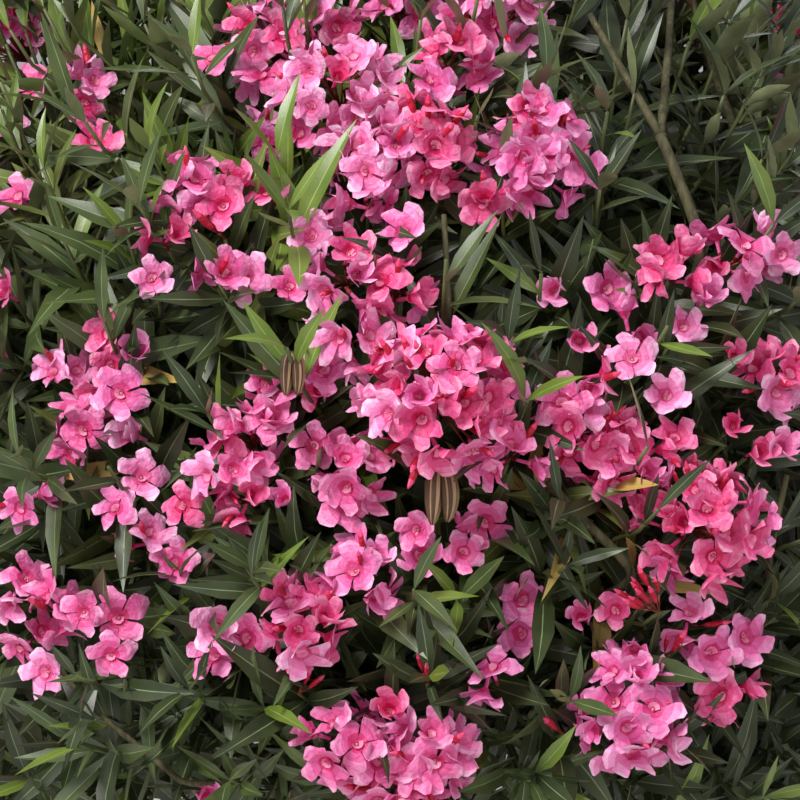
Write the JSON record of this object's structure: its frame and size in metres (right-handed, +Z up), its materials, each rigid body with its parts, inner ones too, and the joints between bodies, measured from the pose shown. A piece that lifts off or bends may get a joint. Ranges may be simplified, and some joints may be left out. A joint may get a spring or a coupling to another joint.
{
  "type": "potted oleander",
  "caption": "Flowering oleander shrub with several stems, whorled lance-shaped leaves and domed pink flower heads, in a plain round clay pot.",
  "frame": {"origin": "middle of the pot's flat underside", "axes": "+Z up, along the pot's axis; -Y is the front of the plant; +X is to the right seen from the front"},
  "size_m": [1.2221, 1.2165, 1.5828],
  "materials": {
    "pot_clay": "unglazed matt terracotta",
    "soil": "moist crumbly compost",
    "bark": "smooth grey-brown bark",
    "foliage": "leathery dark green leaves with pale midribs",
    "blossom": "satiny pink petals"
  },
  "bodies": {
    "root": {"pot": "pot_clay", "soil": "soil", "stem_1": "bark", "stem_2": "bark", "stem_3": "bark", "stem_4": "bark", "stem_5": "bark", "bough_01": "bark", "bough_02": "bark", "bough_03": "bark", "bough_04": "bark", "bough_05": "bark", "bough_06": "bark", "bough_07": "bark", "bough_08": "bark", "bough_09": "bark", "bough_10": "bark", "bough_11": "bark", "bough_12": "bark", "bough_13": "bark", "bough_14": "bark", "bough_15": "bark", "foliage_01": "foliage", "foliage_02": "foliage", "foliage_03": "foliage", "foliage_04": "foliage", "foliage_05": "foliage", "foliage_06": "foliage", "foliage_07": "foliage", "foliage_08": "foliage", "foliage_09": "foliage", "foliage_10": "foliage", "foliage_11": "foliage", "foliage_12": "foliage", "foliage_13": "foliage", "foliage_14": "foliage", "foliage_15": "foliage"}
  },
  "joints": []
}
